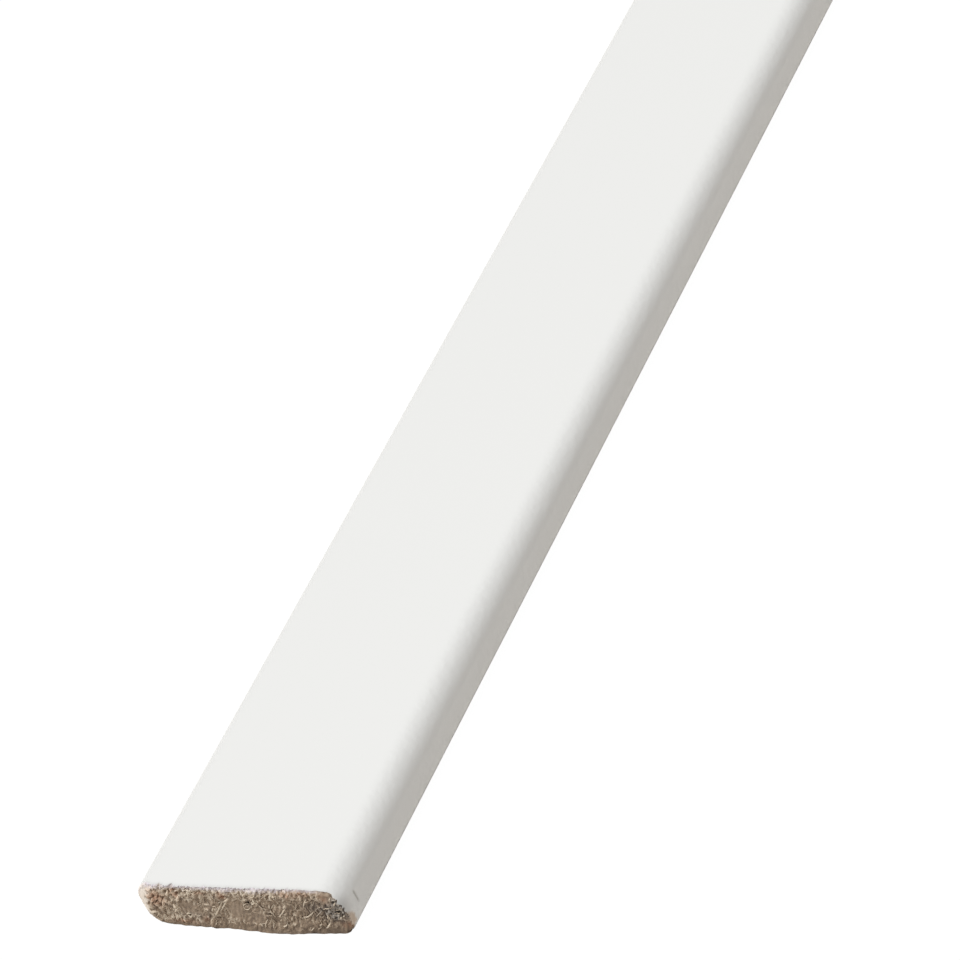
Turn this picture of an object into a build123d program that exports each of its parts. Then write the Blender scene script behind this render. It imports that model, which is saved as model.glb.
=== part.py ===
"""Slim skirting board: one straight length of rounded fibreboard moulding, lying on its back.

The board runs along Y, its face looks up, and its back rests on the plane z = 0.
The origin is the middle of the back.
"""

import os

from build123d import *

# Driving dimensions, in millimetres
STOCK_LENGTH = 2400.0  # the length that the moulding is sold in
FACE_WIDTH = 24.0  # across the face, which is the height of the board on a wall
THICKNESS = 6.0  # from the back to the face
FACE_EDGE_RADIUS = 2.5  # round of the two long edges of the face
BACK_EDGE_RADIUS = 2.0  # round of the two long edges of the back

# The rounds of one side meet at most in the middle of its thickness, less a hair of flat.
SIDE_SHARE = 0.49
face_edge_round = min(FACE_EDGE_RADIUS, SIDE_SHARE * THICKNESS)
back_edge_round = min(BACK_EDGE_RADIUS, SIDE_SHARE * THICKNESS)

with BuildPart() as skirting_board:
    # Section across the board, with the back on the ground line and the face on top
    with BuildSketch(Plane.XZ) as section:
        Rectangle(FACE_WIDTH, THICKNESS, align=(Align.CENTER, Align.MIN))
        fillet(section.vertices().group_by(Axis.Y)[-1], face_edge_round)
        fillet(section.vertices().group_by(Axis.Y)[0], back_edge_round)
    extrude(amount=STOCK_LENGTH / 2, both=True)

skirting_board.part.label = "skirting_board"

os.makedirs("parts", exist_ok=True)
export_step(skirting_board.part, "parts/skirting_board.step")
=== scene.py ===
"""Dressed model of a slim white skirting board: one straight length of lacquered fibreboard moulding.

The board lies on its back along Y. Its near end is a rough cut that the saw tore, its far end is a clean
sawn one, and its back is bare fibreboard. Lengths are in millimetres until a mesh is made, which is in the
metres of the frame. "Out" is a height above the flat of an end, away from the board.
"""

import logging
import math
from dataclasses import dataclass, field
from enum import Enum, IntEnum

import bpy
import numpy as np
from mathutils import Matrix, Vector


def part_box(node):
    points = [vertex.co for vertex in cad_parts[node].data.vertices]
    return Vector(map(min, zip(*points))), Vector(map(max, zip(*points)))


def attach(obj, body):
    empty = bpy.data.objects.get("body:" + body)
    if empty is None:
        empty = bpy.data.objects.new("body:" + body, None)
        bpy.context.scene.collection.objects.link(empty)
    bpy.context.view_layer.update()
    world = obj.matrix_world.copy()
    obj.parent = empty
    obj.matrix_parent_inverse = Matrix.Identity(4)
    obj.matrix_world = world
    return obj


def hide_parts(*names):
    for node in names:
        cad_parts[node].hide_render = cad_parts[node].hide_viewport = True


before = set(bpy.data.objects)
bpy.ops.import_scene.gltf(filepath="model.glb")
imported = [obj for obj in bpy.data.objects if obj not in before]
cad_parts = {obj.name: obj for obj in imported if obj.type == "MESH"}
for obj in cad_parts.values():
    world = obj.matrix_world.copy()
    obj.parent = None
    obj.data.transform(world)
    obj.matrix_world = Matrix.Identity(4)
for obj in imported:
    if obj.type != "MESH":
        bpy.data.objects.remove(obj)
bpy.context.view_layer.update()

MM = 0.001
TAU = 2.0 * math.pi
NODE = "skirting_board"
BODY = "root"

# Map that the finishes are baked on, and the point attributes that they read beside the marks
BAKE_MAP = "OFBake"
TONE = "tone"
# Grime, and painted shade in the nick and beside the torn corner, that darken the lacquer
GRIME_AND_SHADE = "grime_and_shade"
WORN = "worn"

# Lie of the fibres: the heading that the saw dragged them to, and how far they scatter
DRAG_HEADING = math.radians(63.0)
HEADING_SPREAD = 0.4
LENGTH_SPREAD = 0.4
BEND_SPREAD = 0.7

# Shortest and longest wave of a ripple, as shares of its middle wavelength
RIPPLE_SCATTER = (0.65, 1.5)

# Keeps a sample just inside the last pair of cells of a raster
LAST_PAIR = 1.001

# Sockets of the Mix node by number, because it repeats their names for each type of value
MIX_FACTOR = 0
NUMBER_A = 2
NUMBER_B = 3
COLOUR_A = 6
COLOUR_B = 7
MIXED_NUMBER = 0
MIXED_COLOUR = 2

# Ripples that are added up, each as its height and wavelength
Waves = tuple[tuple[float, float], ...]

log = logging.getLogger("skirting_board")


class Coat(IntEnum):
    """Finishes of the board's faces, in the order of its material slots."""

    LACQUER = 0
    TORN_CORE = 1
    BARE_BACK = 2
    SAWN_CORE = 3


class Mark(Enum):
    """Kinds of patch on the torn end: colours that the finish reads, then marks of its tone and relief."""

    STAIN = "stain"
    SHADE = "shade"
    SOAK = "soak"
    FILM = "film"
    PALE = "pale"
    DEEP = "deep"
    CALM = "calm"
    CRUMBLY = "crumbly"


COLOUR_MARKS = (Mark.STAIN, Mark.SHADE, Mark.SOAK, Mark.FILM)


class Draw(IntEnum):
    """Separate draws of random numbers for the torn end, each added to its seed."""

    MARKS = 1
    EDGE = 2
    CORE = 3
    CRUMBS = 5
    COMBING = 6


@dataclass(frozen=True)
class Ramp:
    """A smooth change between two values."""

    low: float
    high: float

    def rise(self, value: np.ndarray) -> np.ndarray:
        """Rises from 0 at low to 1 at high along the cubic 3t² - 2t³."""
        t = np.clip((value - self.low) / (self.high - self.low), 0.0, 1.0)
        return t * t * (3.0 - 2.0 * t)

    def fall(self, value: np.ndarray) -> np.ndarray:
        """Falls from 1 at low to 0 at high, as what the rise leaves over."""
        return 1.0 - self.rise(value)


@dataclass(frozen=True)
class Patch:
    """A soft-edged patch on the torn end: its kind, middle, half sizes and strength."""

    mark: Mark
    x: float
    z: float
    reach_x: float
    reach_z: float
    strength: float = 1.0

    def weight(self, x: np.ndarray, z: np.ndarray) -> np.ndarray:
        """Bell in x and z: the strength at the middle, about a third of it one reach away."""
        away = ((x - self.x) / self.reach_x) ** 2 + ((z - self.z) / self.reach_z) ** 2
        return self.strength * np.exp(-away)


@dataclass(frozen=True)
class Chip:
    """A place where the edge of the lacquer broke back, or stands out where depth is negative."""

    x: float
    z: float
    reach: float
    depth: float

    def pull(self, x: np.ndarray, z: np.ndarray) -> np.ndarray:
        """Bell round the chip's middle, in millimetres along the board."""
        return self.depth * np.exp(-((x - self.x) ** 2 + (z - self.z) ** 2) / self.reach**2)


@dataclass(frozen=True)
class Hump:
    """A stretch of the lip along the back that stands out, or falls back where height is negative."""

    x: float
    reach: float
    height: float

    def out(self, x: np.ndarray) -> np.ndarray:
        """Bell along x: the height at the middle, about a third of it one reach away."""
        return self.height * np.exp(-(((x - self.x) / self.reach) ** 2))


@dataclass(frozen=True)
class Strand:
    """A long bundle of fibres on the torn end: its two tips, its bow, its lightness and its radius."""

    x0: float
    z0: float
    x1: float
    z1: float
    bow: float
    tone: float
    radius: float = 0.07


def to_linear(hex_colour: str) -> tuple[float, float, float, float]:
    """Turns an sRGB hex colour into the linear RGBA that shaders take.

    Args:
        hex_colour: Six hex digits after a hash sign.

    Returns:
        Linear red, green and blue, and an alpha of one.
    """
    parts = [int(hex_colour[i : i + 2], 16) / 255.0 for i in (1, 3, 5)]
    linear = [c / 12.92 if c <= 0.04045 else ((c + 0.055) / 1.055) ** 2.4 for c in parts]
    return (*linear, 1.0)


def per_metre(size_mm: float) -> float:
    """Texture scale in object coordinates for a feature of the given size."""
    return 1.0 / (size_mm * MM)


def add_node(
    tree: bpy.types.NodeTree,
    kind: str,
    settings: dict | None = None,
    values: dict | None = None,
    links: dict | None = None,
    stops: tuple[tuple[float, str], ...] = (),
) -> bpy.types.Node:
    """Adds a node with its settings and links.

    Args:
        tree: The tree that gets the node.
        kind: Blender's name for the node's type.
        settings: Properties of the node, by name.
        values: Constants for its input sockets, by name or number.
        links: Output sockets that feed its input sockets, by name or number.
        stops: Places and hex colours of a colour ramp, in rising order.

    Returns:
        The new node.
    """
    node = tree.nodes.new(kind)
    for name, value in (settings or {}).items():
        setattr(node, name, value)
    for socket, value in (values or {}).items():
        node.inputs[socket].default_value = value
    for socket, source in (links or {}).items():
        tree.links.new(source, node.inputs[socket])
    for number, (position, colour) in enumerate(stops):
        elements = node.color_ramp.elements
        stop = elements[number] if number < len(elements) else elements.new(position)
        stop.position = position
        stop.color = to_linear(colour)
    return node


def new_material(name: str) -> tuple[bpy.types.Material, bpy.types.NodeTree, bpy.types.Node]:
    """Makes a material with an empty tree but for its output and a Principled shader.

    Args:
        name: The material's name.

    Returns:
        The material, its tree and the shader node.
    """
    material = bpy.data.materials.new(name)
    material.use_nodes = True
    tree = material.node_tree
    tree.nodes.clear()
    shader = add_node(tree, "ShaderNodeBsdfPrincipled")
    add_node(tree, "ShaderNodeOutputMaterial", links={"Surface": shader.outputs["BSDF"]})
    return material, tree, shader


def ripples(
    rng: np.random.Generator, x: np.ndarray, z: np.ndarray, wavelength: float, waves: int = 40
) -> np.ndarray:
    """Smooth random field with a spread of about one.

    The field is a sum of plane cosine waves with random headings and phases, whose lengths scatter
    round the given one.

    Args:
        rng: Source of the headings, lengths and phases.
        x: First coordinate of the points.
        z: Second coordinate of the points.
        wavelength: Middle wavelength.
        waves: Number of waves added up.

    Returns:
        The field at each point.
    """
    heading = rng.uniform(0.0, TAU, waves)
    number = TAU / (wavelength * rng.uniform(*RIPPLE_SCATTER, waves))
    phase = rng.uniform(0.0, TAU, waves)
    along = np.multiply.outer(x, number * np.cos(heading)) + np.multiply.outer(z, number * np.sin(heading))
    return np.cos(along + phase).sum(axis=-1) * math.sqrt(2.0 / waves)


def mixed_ripples(rng: np.random.Generator, x: np.ndarray, z: np.ndarray, waves: Waves) -> np.ndarray:
    """Adds up ripples of several heights and wavelengths."""
    return sum(height * ripples(rng, x, z, wavelength) for height, wavelength in waves)


def at_least(share: float, weight: np.ndarray) -> np.ndarray:
    """Squeezes a weight from 0 to 1 into the range from the share to 1."""
    return share + (1.0 - share) * weight


@dataclass(frozen=True)
class Section:
    """Cross-section of the moulding: a rectangle with rounded corners and its back on z = 0."""

    width: float
    thickness: float
    face_round: float = 2.5
    back_round: float = 2.0

    def edge_curve(self, on_face: bool, arc_steps: int, flat_steps: int) -> np.ndarray:
        """One long edge of the section, from its left side to its right side.

        A quarter round, a flat and a quarter round: on the left round x = -(h - r) - r cos a and the
        height is r - r sin a from the flat, with a from 0 to 90 degrees, and the right round mirrors it.

        Args:
            on_face: The edge of the face, or else of the back.
            arc_steps: Steps on each round.
            flat_steps: Steps on the flat.

        Returns:
            Points (x, z), one row each.
        """
        radius = self.face_round if on_face else self.back_round
        flat = self.width / 2.0 - radius
        angle = np.linspace(0.0, math.pi / 2.0, arc_steps + 1)
        left = np.stack([-flat - radius * np.cos(angle), radius - radius * np.sin(angle)], axis=1)
        middle = np.linspace(-flat, flat, flat_steps + 1)[1:-1]
        level = np.stack([middle, np.zeros_like(middle)], axis=1)
        curve = np.concatenate([left, level, left[::-1] * (-1.0, 1.0)])
        if on_face:
            curve = np.stack([curve[:, 0], self.thickness - curve[:, 1]], axis=1)
        return curve

    def inset(self, x: np.ndarray, z: np.ndarray) -> np.ndarray:
        """Distance from points inside the section to its outline, by the rounded rectangle's formula.

        With o how far a point passes the start of the round, each way, it is the radius less the length
        of o beyond a corner, or plus the way that is left to the nearer side.

        Args:
            x: Places across the section.
            z: Places up the section.

        Returns:
            The distance at each point.
        """
        radius = np.where(z > self.thickness / 2.0, self.face_round, self.back_round)
        over_x = np.abs(x) - (self.width / 2.0 - radius)
        over_z = np.abs(z - self.thickness / 2.0) - (self.thickness / 2.0 - radius)
        corner = np.hypot(np.maximum(over_x, 0.0), np.maximum(over_z, 0.0))
        return radius - corner - np.minimum(np.maximum(over_x, over_z), 0.0)


@dataclass(frozen=True)
class EndGrid:
    """Grid of points over the section: columns between its two long edges, in even steps."""

    section: Section
    arc_steps: int
    flat_steps: int
    rise_steps: int

    @property
    def columns(self) -> int:
        """Steps across the section."""
        return 2 * self.arc_steps + self.flat_steps

    def points(self) -> tuple[np.ndarray, np.ndarray]:
        """Straight columns from the back's edge to the face's edge: P = (1 - v) back + v face.

        Returns:
            x and z, each indexed by column and rise.
        """
        back = self.section.edge_curve(False, self.arc_steps, self.flat_steps)
        face = self.section.edge_curve(True, self.arc_steps, self.flat_steps)
        rise = np.linspace(0.0, 1.0, self.rise_steps + 1)[:, None]
        grid = (1.0 - rise) * back[:, None] + rise * face[:, None]
        return grid[..., 0], grid[..., 1]


def border(grid: np.ndarray) -> np.ndarray:
    """Outer values of a grid, once round: along the back, up the right side, back along the face, down."""
    return np.concatenate([grid[:-1, 0], grid[-1, :-1], grid[:0:-1, -1], grid[0, :0:-1]])


def strand_paths(
    rng: np.random.Generator, section: Section, count: int, steps: int, length: float, upright: float
) -> np.ndarray:
    """Centre lines of many curved fibres on the end.

    Each heading turns evenly along its fibre, heading(s) = heading0 + bend s, and the line is the running
    sum of short steps along it, set about a random middle.

    Args:
        rng: Source of the middles, headings, lengths and bends.
        section: The section that the middles fall in.
        count: Number of fibres.
        steps: Points on each.
        length: Middle length.
        upright: Share of fibres that lie along the saw's drag.

    Returns:
        Points (x, z), indexed by fibre and step.
    """
    middle_x = rng.uniform(-0.5, 0.5, count) * section.width
    middle_z = rng.uniform(0.0, 1.0, count) * section.thickness
    dragged = rng.uniform(size=count) < upright
    along_drag = rng.normal(DRAG_HEADING, HEADING_SPREAD, count)
    heading = np.where(dragged, along_drag, rng.uniform(0.0, math.pi, count))
    reach = length * np.exp(rng.normal(0.0, LENGTH_SPREAD, count))
    bend = rng.normal(0.0, BEND_SPREAD, count)
    run = np.linspace(-0.5, 0.5, steps)
    angle = heading[:, None] + bend[:, None] * run
    step = reach[:, None] / (steps - 1)
    x = np.cumsum(step * np.cos(angle), axis=1)
    z = np.cumsum(step * np.sin(angle), axis=1)
    x += (middle_x - x.mean(axis=1))[:, None]
    z += (middle_z - z.mean(axis=1))[:, None]
    return np.stack([x, z], axis=-1)


@dataclass
class FibreMat:
    """Matted fibres that lie in the torn end, drawn as maps of height and tone on a fine raster.

    Single fibres are a few hundredths of a millimetre thick and too fine to show, so each one is drawn as
    wide as a bundle of them.
    """

    section: Section
    count: int = 950
    length: float = 0.8
    half_width: float = 0.045
    height: float = 0.05
    upright: float = 0.65
    thickness_spread: float = 0.35
    most_lift: float = 0.6
    tone_shape: tuple[float, float] = (1.8, 1.3)
    flat_tone: float = 0.42
    steps: int = 48
    lanes: int = 5
    tip: float = 0.98
    flank: float = 0.95
    cell: float = 0.05
    margin: float = 1.0
    seed: int = 11
    heights: np.ndarray = field(init=False)
    tones: np.ndarray = field(init=False)

    def __post_init__(self) -> None:
        """Draws the fibres: each is a ridge with a half-round profile that thins towards its tips.

        The ridge is sqrt(1 - s²) sqrt(1 - w²) high, with s the place along it and w the place across it,
        both from -1 to 1, and stands on its own lift. Where fibres cross, the highest one shows.
        """
        rng = np.random.default_rng(self.seed)
        paths = strand_paths(rng, self.section, self.count, self.steps, self.length, self.upright)
        thickness = np.exp(rng.normal(0.0, self.thickness_spread, self.count))
        lift = rng.uniform(0.0, self.most_lift, self.count)
        tone = rng.beta(*self.tone_shape, self.count)

        across = np.linspace(-1.0, 1.0, self.lanes)
        run = np.gradient(paths, axis=1)
        run /= np.linalg.norm(run, axis=-1, keepdims=True)
        sideways = np.stack([-run[..., 1], run[..., 0]], axis=-1)
        half = (self.half_width * thickness)[:, None, None, None] * across[:, None]
        spots = paths[:, :, None, :] + sideways[:, :, None, :] * half

        taper = np.sqrt(1.0 - np.linspace(-self.tip, self.tip, self.steps) ** 2)
        dome = np.sqrt(1.0 - (self.flank * across) ** 2)
        rise = self.height * thickness[:, None, None] * (taper[:, None] * dome + lift[:, None, None])

        size_x = int((self.section.width + 2.0 * self.margin) / self.cell) + 1
        size_z = int((self.section.thickness + 2.0 * self.margin) / self.cell) + 1
        from_left = spots[..., 0] + self.section.width / 2.0 + self.margin
        from_low = spots[..., 1] + self.margin
        at_x = np.clip(np.rint(from_left / self.cell), 0, size_x - 1)
        at_z = np.clip(np.rint(from_low / self.cell), 0, size_z - 1)
        place = (at_x * size_z + at_z).astype(np.int64).ravel()
        order = np.argsort(rise.ravel(), kind="stable")

        heights = np.zeros(size_x * size_z)
        tones = np.full(size_x * size_z, self.flat_tone)
        heights[place[order]] = rise.ravel()[order]
        tones[place[order]] = np.broadcast_to(tone[:, None, None], rise.shape).ravel()[order]
        self.heights = heights.reshape(size_x, size_z)
        self.tones = tones.reshape(size_x, size_z)

    def sample(self, raster: np.ndarray, x: np.ndarray, z: np.ndarray) -> np.ndarray:
        """Reads a raster at any points, weighing its four nearest cells by their closeness.

        Args:
            raster: The heights or the tones.
            x: Places across the section.
            z: Places up the section.

        Returns:
            The raster's value at each point.
        """
        from_left = x + self.section.width / 2.0 + self.margin
        fx = np.clip(from_left / self.cell, 0, raster.shape[0] - LAST_PAIR)
        fz = np.clip((z + self.margin) / self.cell, 0, raster.shape[1] - LAST_PAIR)
        ix, iz = fx.astype(int), fz.astype(int)
        tx, tz = fx - ix, fz - iz
        low = (1.0 - tz) * raster[ix, iz] + tz * raster[ix, iz + 1]
        high = (1.0 - tz) * raster[ix + 1, iz] + tz * raster[ix + 1, iz + 1]
        return (1.0 - tx) * low + tx * high


@dataclass
class TornEnd:
    """The rough cut: flat and crumbly places, matted fibres, and a haze of lacquer along the face."""

    section: Section
    mat: FibreMat
    seed: int = 5
    # Zones of the end, by distance from the left side, place across and height, and the lacquer's lap
    left_zone: Ramp = Ramp(1.8, 3.2)
    right_zone: Ramp = Ramp(10.8, 11.3)
    face_zone: Ramp = Ramp(5.0, 5.6)
    lap_height: float = 0.27
    # Blotches that break up the patches
    blotch_mean: float = 0.85
    blotch_spread: float = 0.25
    blotch_size: float = 0.55
    # Relief of the core
    relief: Waves = ((0.07, 2.6), (0.018, 0.25))
    calming: float = 0.8
    soak_calming: float = 0.95
    rim_zone: Ramp = Ramp(0.0, 0.5)
    rim_least: float = 0.15
    # Crumbs: their height, the size of grains and ridges, how far the saw stretched them, and their mix
    crumb: float = 0.15
    crumb_least: float = 0.15
    crumb_size: float = 0.42
    ridge_size: float = 0.378
    drag: float = 2.2
    grain_share: float = 0.5
    ridge_share: float = 0.55
    ridge_top: float = 0.6
    ridge_slope: float = 1.6
    crumb_base: float = 0.2
    crumb_gap: float = -0.9
    crumb_crest: float = 0.7
    # Lip along the back
    lip_height: float = 2.6
    lip_waves: Waves = ((0.02, 1.2),)
    lip_humps: tuple[Hump, ...] = (
        Hump(3.0, 4.4, 0.42),
        Hump(-11.2, 2.6, -0.22),
        Hump(-4.6, 0.4, 0.12),
        Hump(12.2, 0.9, -0.9),
    )
    # Broken edge of the lacquer: its skew, its jitter, and how far it blends into the core
    edge_base: float = -0.03
    edge_skew: float = -0.0125
    edge_jitter: float = 0.05
    edge_waves: Waves = ((1.0, 0.3), (0.8, 0.7))
    edge_even: float = 0.7
    edge_even_zone: Ramp = Ramp(6.0, 9.0)
    edge_rough: float = 0.8
    blend_side: float = 0.28
    blend_face: float = 0.2
    blend_zone: Ramp = Ramp(0.07, 1.0)
    # Haze of lacquer along the face
    film_share: float = 1.0
    film_reach: float = 0.64
    film_ragged: float = 0.15
    film_waves: Waves = ((0.8, 0.34), (0.6, 0.19))
    film_right: Ramp = Ramp(4.5, 6.0)
    film_thinning: float = 0.15
    film_narrowing: float = 0.35
    film_chipping: float = 2.0
    film_foot: Ramp = Ramp(4.0, 5.0)
    film_end: Ramp = Ramp(8.8, 10.8)
    film_start: Ramp = Ramp(-11.2, -9.8)
    film_start_share: float = 0.25
    # Lacquer soaked into the left edge, which is rounded off
    soak_width: float = 1.05
    soak_narrow: float = 0.55
    soak_height: float = 4.2
    soak_swell: float = 1.1
    soak_ragged: float = 0.12
    soak_wave: float = 1.0
    soak_border: Ramp = Ramp(0.6, 1.15)
    soak_foot: Ramp = Ramp(0.9, 2.4)
    soak_top: Ramp = Ramp(4.9, 5.6)
    soak_start: Ramp = Ramp(-11.0, -10.2)
    soak_thinning: float = 0.7
    soak_round: float = 0.42
    round_foot: Ramp = Ramp(0.8, 3.8)
    # Lightness of the core: at the foot and the top, across, in patches, on crests and along the drag. Crests
    # are painted lighter and the gaps between crumbs darker, as painted highlights and painted shade
    tone_base: float = -0.235
    foot_light: float = 0.2
    foot_zone: Ramp = Ramp(0.1, 1.5)
    top_light: float = 0.17
    top_zone: Ramp = Ramp(3.4, 5.0)
    # Darker to the right across the end: partly painted light falling from the left
    lean_light: float = -0.012
    right_dark: float = 0.07
    dark_zone: Ramp = Ramp(5.5, 8.0)
    patch_light: float = 0.25
    crest_highlight_and_shade: float = 0.65
    crest_least: float = 0.2
    even_zone: Ramp = Ramp(0.1, 1.4)
    even_least: float = 0.2
    combing: float = 0.065
    comb_size: float = 0.5
    comb_stretch: float = 6.0
    patches: tuple[Patch, ...] = (
        Patch(Mark.STAIN, -9.9, 4.2, 1.2, 1.3, 0.9),
        Patch(Mark.STAIN, -7.2, 5.0, 0.45, 0.6),
        Patch(Mark.STAIN, -4.1, 4.95, 0.6, 0.25, 0.7),
        Patch(Mark.STAIN, -1.6, 4.9, 0.4, 0.5),
        Patch(Mark.STAIN, 6.0, 5.35, 0.7, 0.4, 0.65),
        Patch(Mark.STAIN, 7.8, 5.4, 0.95, 0.4, 0.65),
        Patch(Mark.STAIN, 10.1, 4.95, 0.5, 0.55, 0.6),
        Patch(Mark.STAIN, 11.2, 1.3, 0.7, 0.6, 0.8),
        Patch(Mark.STAIN, -8.1, 0.8, 1.2, 0.3, 0.8),
        Patch(Mark.STAIN, -5.2, 1.25, 0.4, 0.4, 0.6),
        Patch(Mark.SHADE, 10.45, 3.05, 1.15, 1.1, 1.6),
        Patch(Mark.SHADE, 11.5, 4.3, 0.6, 1.1, 1.4),
        Patch(Mark.SHADE, 8.25, 3.6, 0.9, 0.6, 0.5),
        Patch(Mark.SHADE, 0.8, 3.7, 0.3, 0.3, 0.9),
        Patch(Mark.SHADE, -8.5, 5.9, 0.35, 0.3),
        Patch(Mark.SHADE, -7.1, 5.9, 0.3, 0.3),
        Patch(Mark.SHADE, -6.2, 1.7, 1.6, 0.5, 0.4),
        Patch(Mark.SHADE, 3.7, 0.0, 0.9, 0.15, 0.9),
        Patch(Mark.SHADE, 6.8, 0.0, 0.7, 0.15, 0.9),
        Patch(Mark.SOAK, 12.0, 2.6, 0.3, 0.5, 0.25),
        Patch(Mark.PALE, 10.2, 4.95, 0.5, 0.5, 0.8),
        Patch(Mark.PALE, 9.2, 5.5, 0.9, 0.35, 0.9),
        Patch(Mark.PALE, 7.4, 5.3, 1.3, 0.5, 0.6),
        Patch(Mark.PALE, 11.2, 1.0, 1.0, 0.8, 0.8),
        Patch(Mark.PALE, -9.2, 4.4, 1.6, 1.2, 0.5),
        Patch(Mark.PALE, -8.6, 5.45, 1.3, 0.35, 1.2),
        Patch(Mark.DEEP, 8.1, 3.6, 0.9, 0.55, 1.1),
        Patch(Mark.DEEP, 5.7, 3.2, 0.6, 0.5, 0.4),
        Patch(Mark.DEEP, 6.2, 5.5, 1.8, 0.4, 0.15),
        # Darkens the recess behind the lacquer that stands out down the right side: painted shade.
        Patch(Mark.DEEP, 11.7, 4.0, 0.35, 1.2, 0.6),
        Patch(Mark.DEEP, -6.7, 2.9, 1.0, 0.7, 0.8),
        Patch(Mark.DEEP, 1.0, 1.8, 1.6, 1.2, 0.6),
        Patch(Mark.DEEP, -5.4, 4.5, 1.0, 0.5, 0.4),
        Patch(Mark.CALM, -6.5, 3.0, 1.15, 0.9, 1.3),
        Patch(Mark.CALM, -1.1, 3.0, 0.9, 1.6),
        Patch(Mark.CALM, 1.2, 2.0, 1.2, 1.0, 1.1),
        Patch(Mark.CALM, -6.95, 1.8, 0.6, 0.5),
        Patch(Mark.CALM, 6.9, 1.3, 0.9, 0.4, 0.9),
        Patch(Mark.CALM, 11.0, 1.1, 1.1, 0.9, 0.9),
        Patch(Mark.CALM, 9.4, 0.4, 2.4, 0.35),
        Patch(Mark.CALM, 10.2, 4.9, 0.5, 0.5),
        Patch(Mark.CRUMBLY, -8.3, 3.6, 3.2, 2.6),
        Patch(Mark.CRUMBLY, 0.0, 5.2, 9.0, 0.6, 0.5),
        Patch(Mark.CRUMBLY, 5.6, 1.6, 1.3, 1.4, 0.4),
        Patch(Mark.CRUMBLY, 8.6, 2.4, 1.2, 2.0, 0.35),
        Patch(Mark.CRUMBLY, 10.8, 3.2, 1.1, 1.7, 0.7),
    )
    chips: tuple[Chip, ...] = (
        Chip(-8.5, 6.0, 0.28, 0.32),
        Chip(-7.1, 6.0, 0.26, 0.26),
        Chip(-11.4, 0.9, 1.6, 0.28),
        Chip(9.2, 6.0, 0.9, -0.10),
        Chip(11.0, 5.55, 0.45, 0.15),
        Chip(11.8, 4.1, 1.0, -0.36),
        Chip(12.0, 2.1, 1.2, -0.32),
        Chip(11.5, 0.6, 0.7, 0.28),
    )
    pits: tuple[Chip, ...] = (
        Chip(0.8, 3.7, 0.24, 0.3),
        Chip(-6.95, 1.78, 0.2, 0.3),
        Chip(8.3, 3.8, 0.6, 0.12),
    )

    def left_side(self, x: np.ndarray) -> np.ndarray:
        """One at the left side of the end, fading to nothing over the left round."""
        return self.left_zone.fall(x + self.section.width / 2.0)

    def marks(self, x: np.ndarray, z: np.ndarray) -> dict[Mark, np.ndarray]:
        """Strength of each kind of mark: its patches added up, broken up by ripples.

        Args:
            x: Places across the section.
            z: Places up the section.

        Returns:
            One array from 0 to 1 for each mark.
        """
        rng = np.random.default_rng(self.seed + Draw.MARKS)
        blotch = self.blotch_mean + self.blotch_spread * ripples(rng, x, z, self.blotch_size)
        found = {mark: np.zeros_like(x) for mark in Mark}
        for patch in self.patches:
            found[patch.mark] += patch.weight(x, z) * blotch
        found[Mark.SOAK] += self.soaked(rng, x, z)
        found[Mark.FILM] += self.film(rng, x, z)
        return {mark: np.clip(value, 0.0, 1.0) for mark, value in found.items()}

    def soaked(self, rng: np.random.Generator, x: np.ndarray, z: np.ndarray) -> np.ndarray:
        """Strength of the soaked edge: a band inside the outline of the left side.

        Its width swells in a bell round the soak height. It fades towards the back, and thins out
        where the face begins.

        Args:
            rng: Source of the ripples in its width.
            x: Places across the section.
            z: Places up the section.

        Returns:
            The strength at each point.
        """
        swell = np.exp(-(((z - self.soak_height) / self.soak_swell) ** 2))
        width = self.soak_narrow + (self.soak_width - self.soak_narrow) * swell
        width *= 1.0 + self.soak_ragged * ripples(rng, z, z, self.soak_wave)
        band = self.soak_border.fall(self.section.inset(x, z) / width)
        thinned = 1.0 - self.soak_thinning * self.soak_top.rise(z) * self.soak_start.rise(x)
        return band * self.left_side(x) * self.soak_foot.rise(z) * thinned

    def film(self, rng: np.random.Generator, x: np.ndarray, z: np.ndarray) -> np.ndarray:
        """Strength of the haze: densest at the face's edge, thinning out evenly inwards and to the right.

        Fine ripples and the chips break it up, and it fades on both rounds.

        Args:
            rng: Source of the ripples.
            x: Places across the section.
            z: Places up the section.

        Returns:
            The strength at each point.
        """
        to_right = self.film_right.rise(x)
        ragged = self.film_ragged * mixed_ripples(rng, x, z, self.film_waves)
        reach = self.film_reach * (1.0 - self.film_narrowing * to_right)
        film = self.film_share - self.film_thinning * to_right - self.section.inset(x, z) / reach + ragged
        for chip in self.chips:
            film -= self.film_chipping * np.maximum(chip.pull(x, z), 0.0)
        ends = self.film_end.fall(x) * self.film_foot.rise(z)
        ends = ends * at_least(self.film_start_share, self.film_start.rise(x))
        return np.clip(film, 0.0, 1.0) * ends

    def film_out(self, x: np.ndarray, z: np.ndarray) -> np.ndarray:
        """Height of the lacquer's broken edge: a slight skew of the cut, a fine jitter and the chips.

        The jitter is fainter on the right of the face and down the left side, and rougher down the
        right side.

        Args:
            x: Places across the section.
            z: Places up the section.

        Returns:
            The height at each point.
        """
        rng = np.random.default_rng(self.seed + Draw.EDGE)
        jitter = mixed_ripples(rng, x, z, self.edge_waves)
        face = self.face_zone.rise(z)
        sides = self.edge_rough * self.right_zone.rise(x) - self.edge_even * self.left_side(x)
        ragged = 1.0 - self.edge_even * self.edge_even_zone.rise(x) * face + sides * (1.0 - face)
        out = self.edge_base + self.edge_skew * x + self.edge_jitter * jitter * ragged
        for chip in self.chips:
            out -= chip.pull(x, z)
        return out

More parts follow.
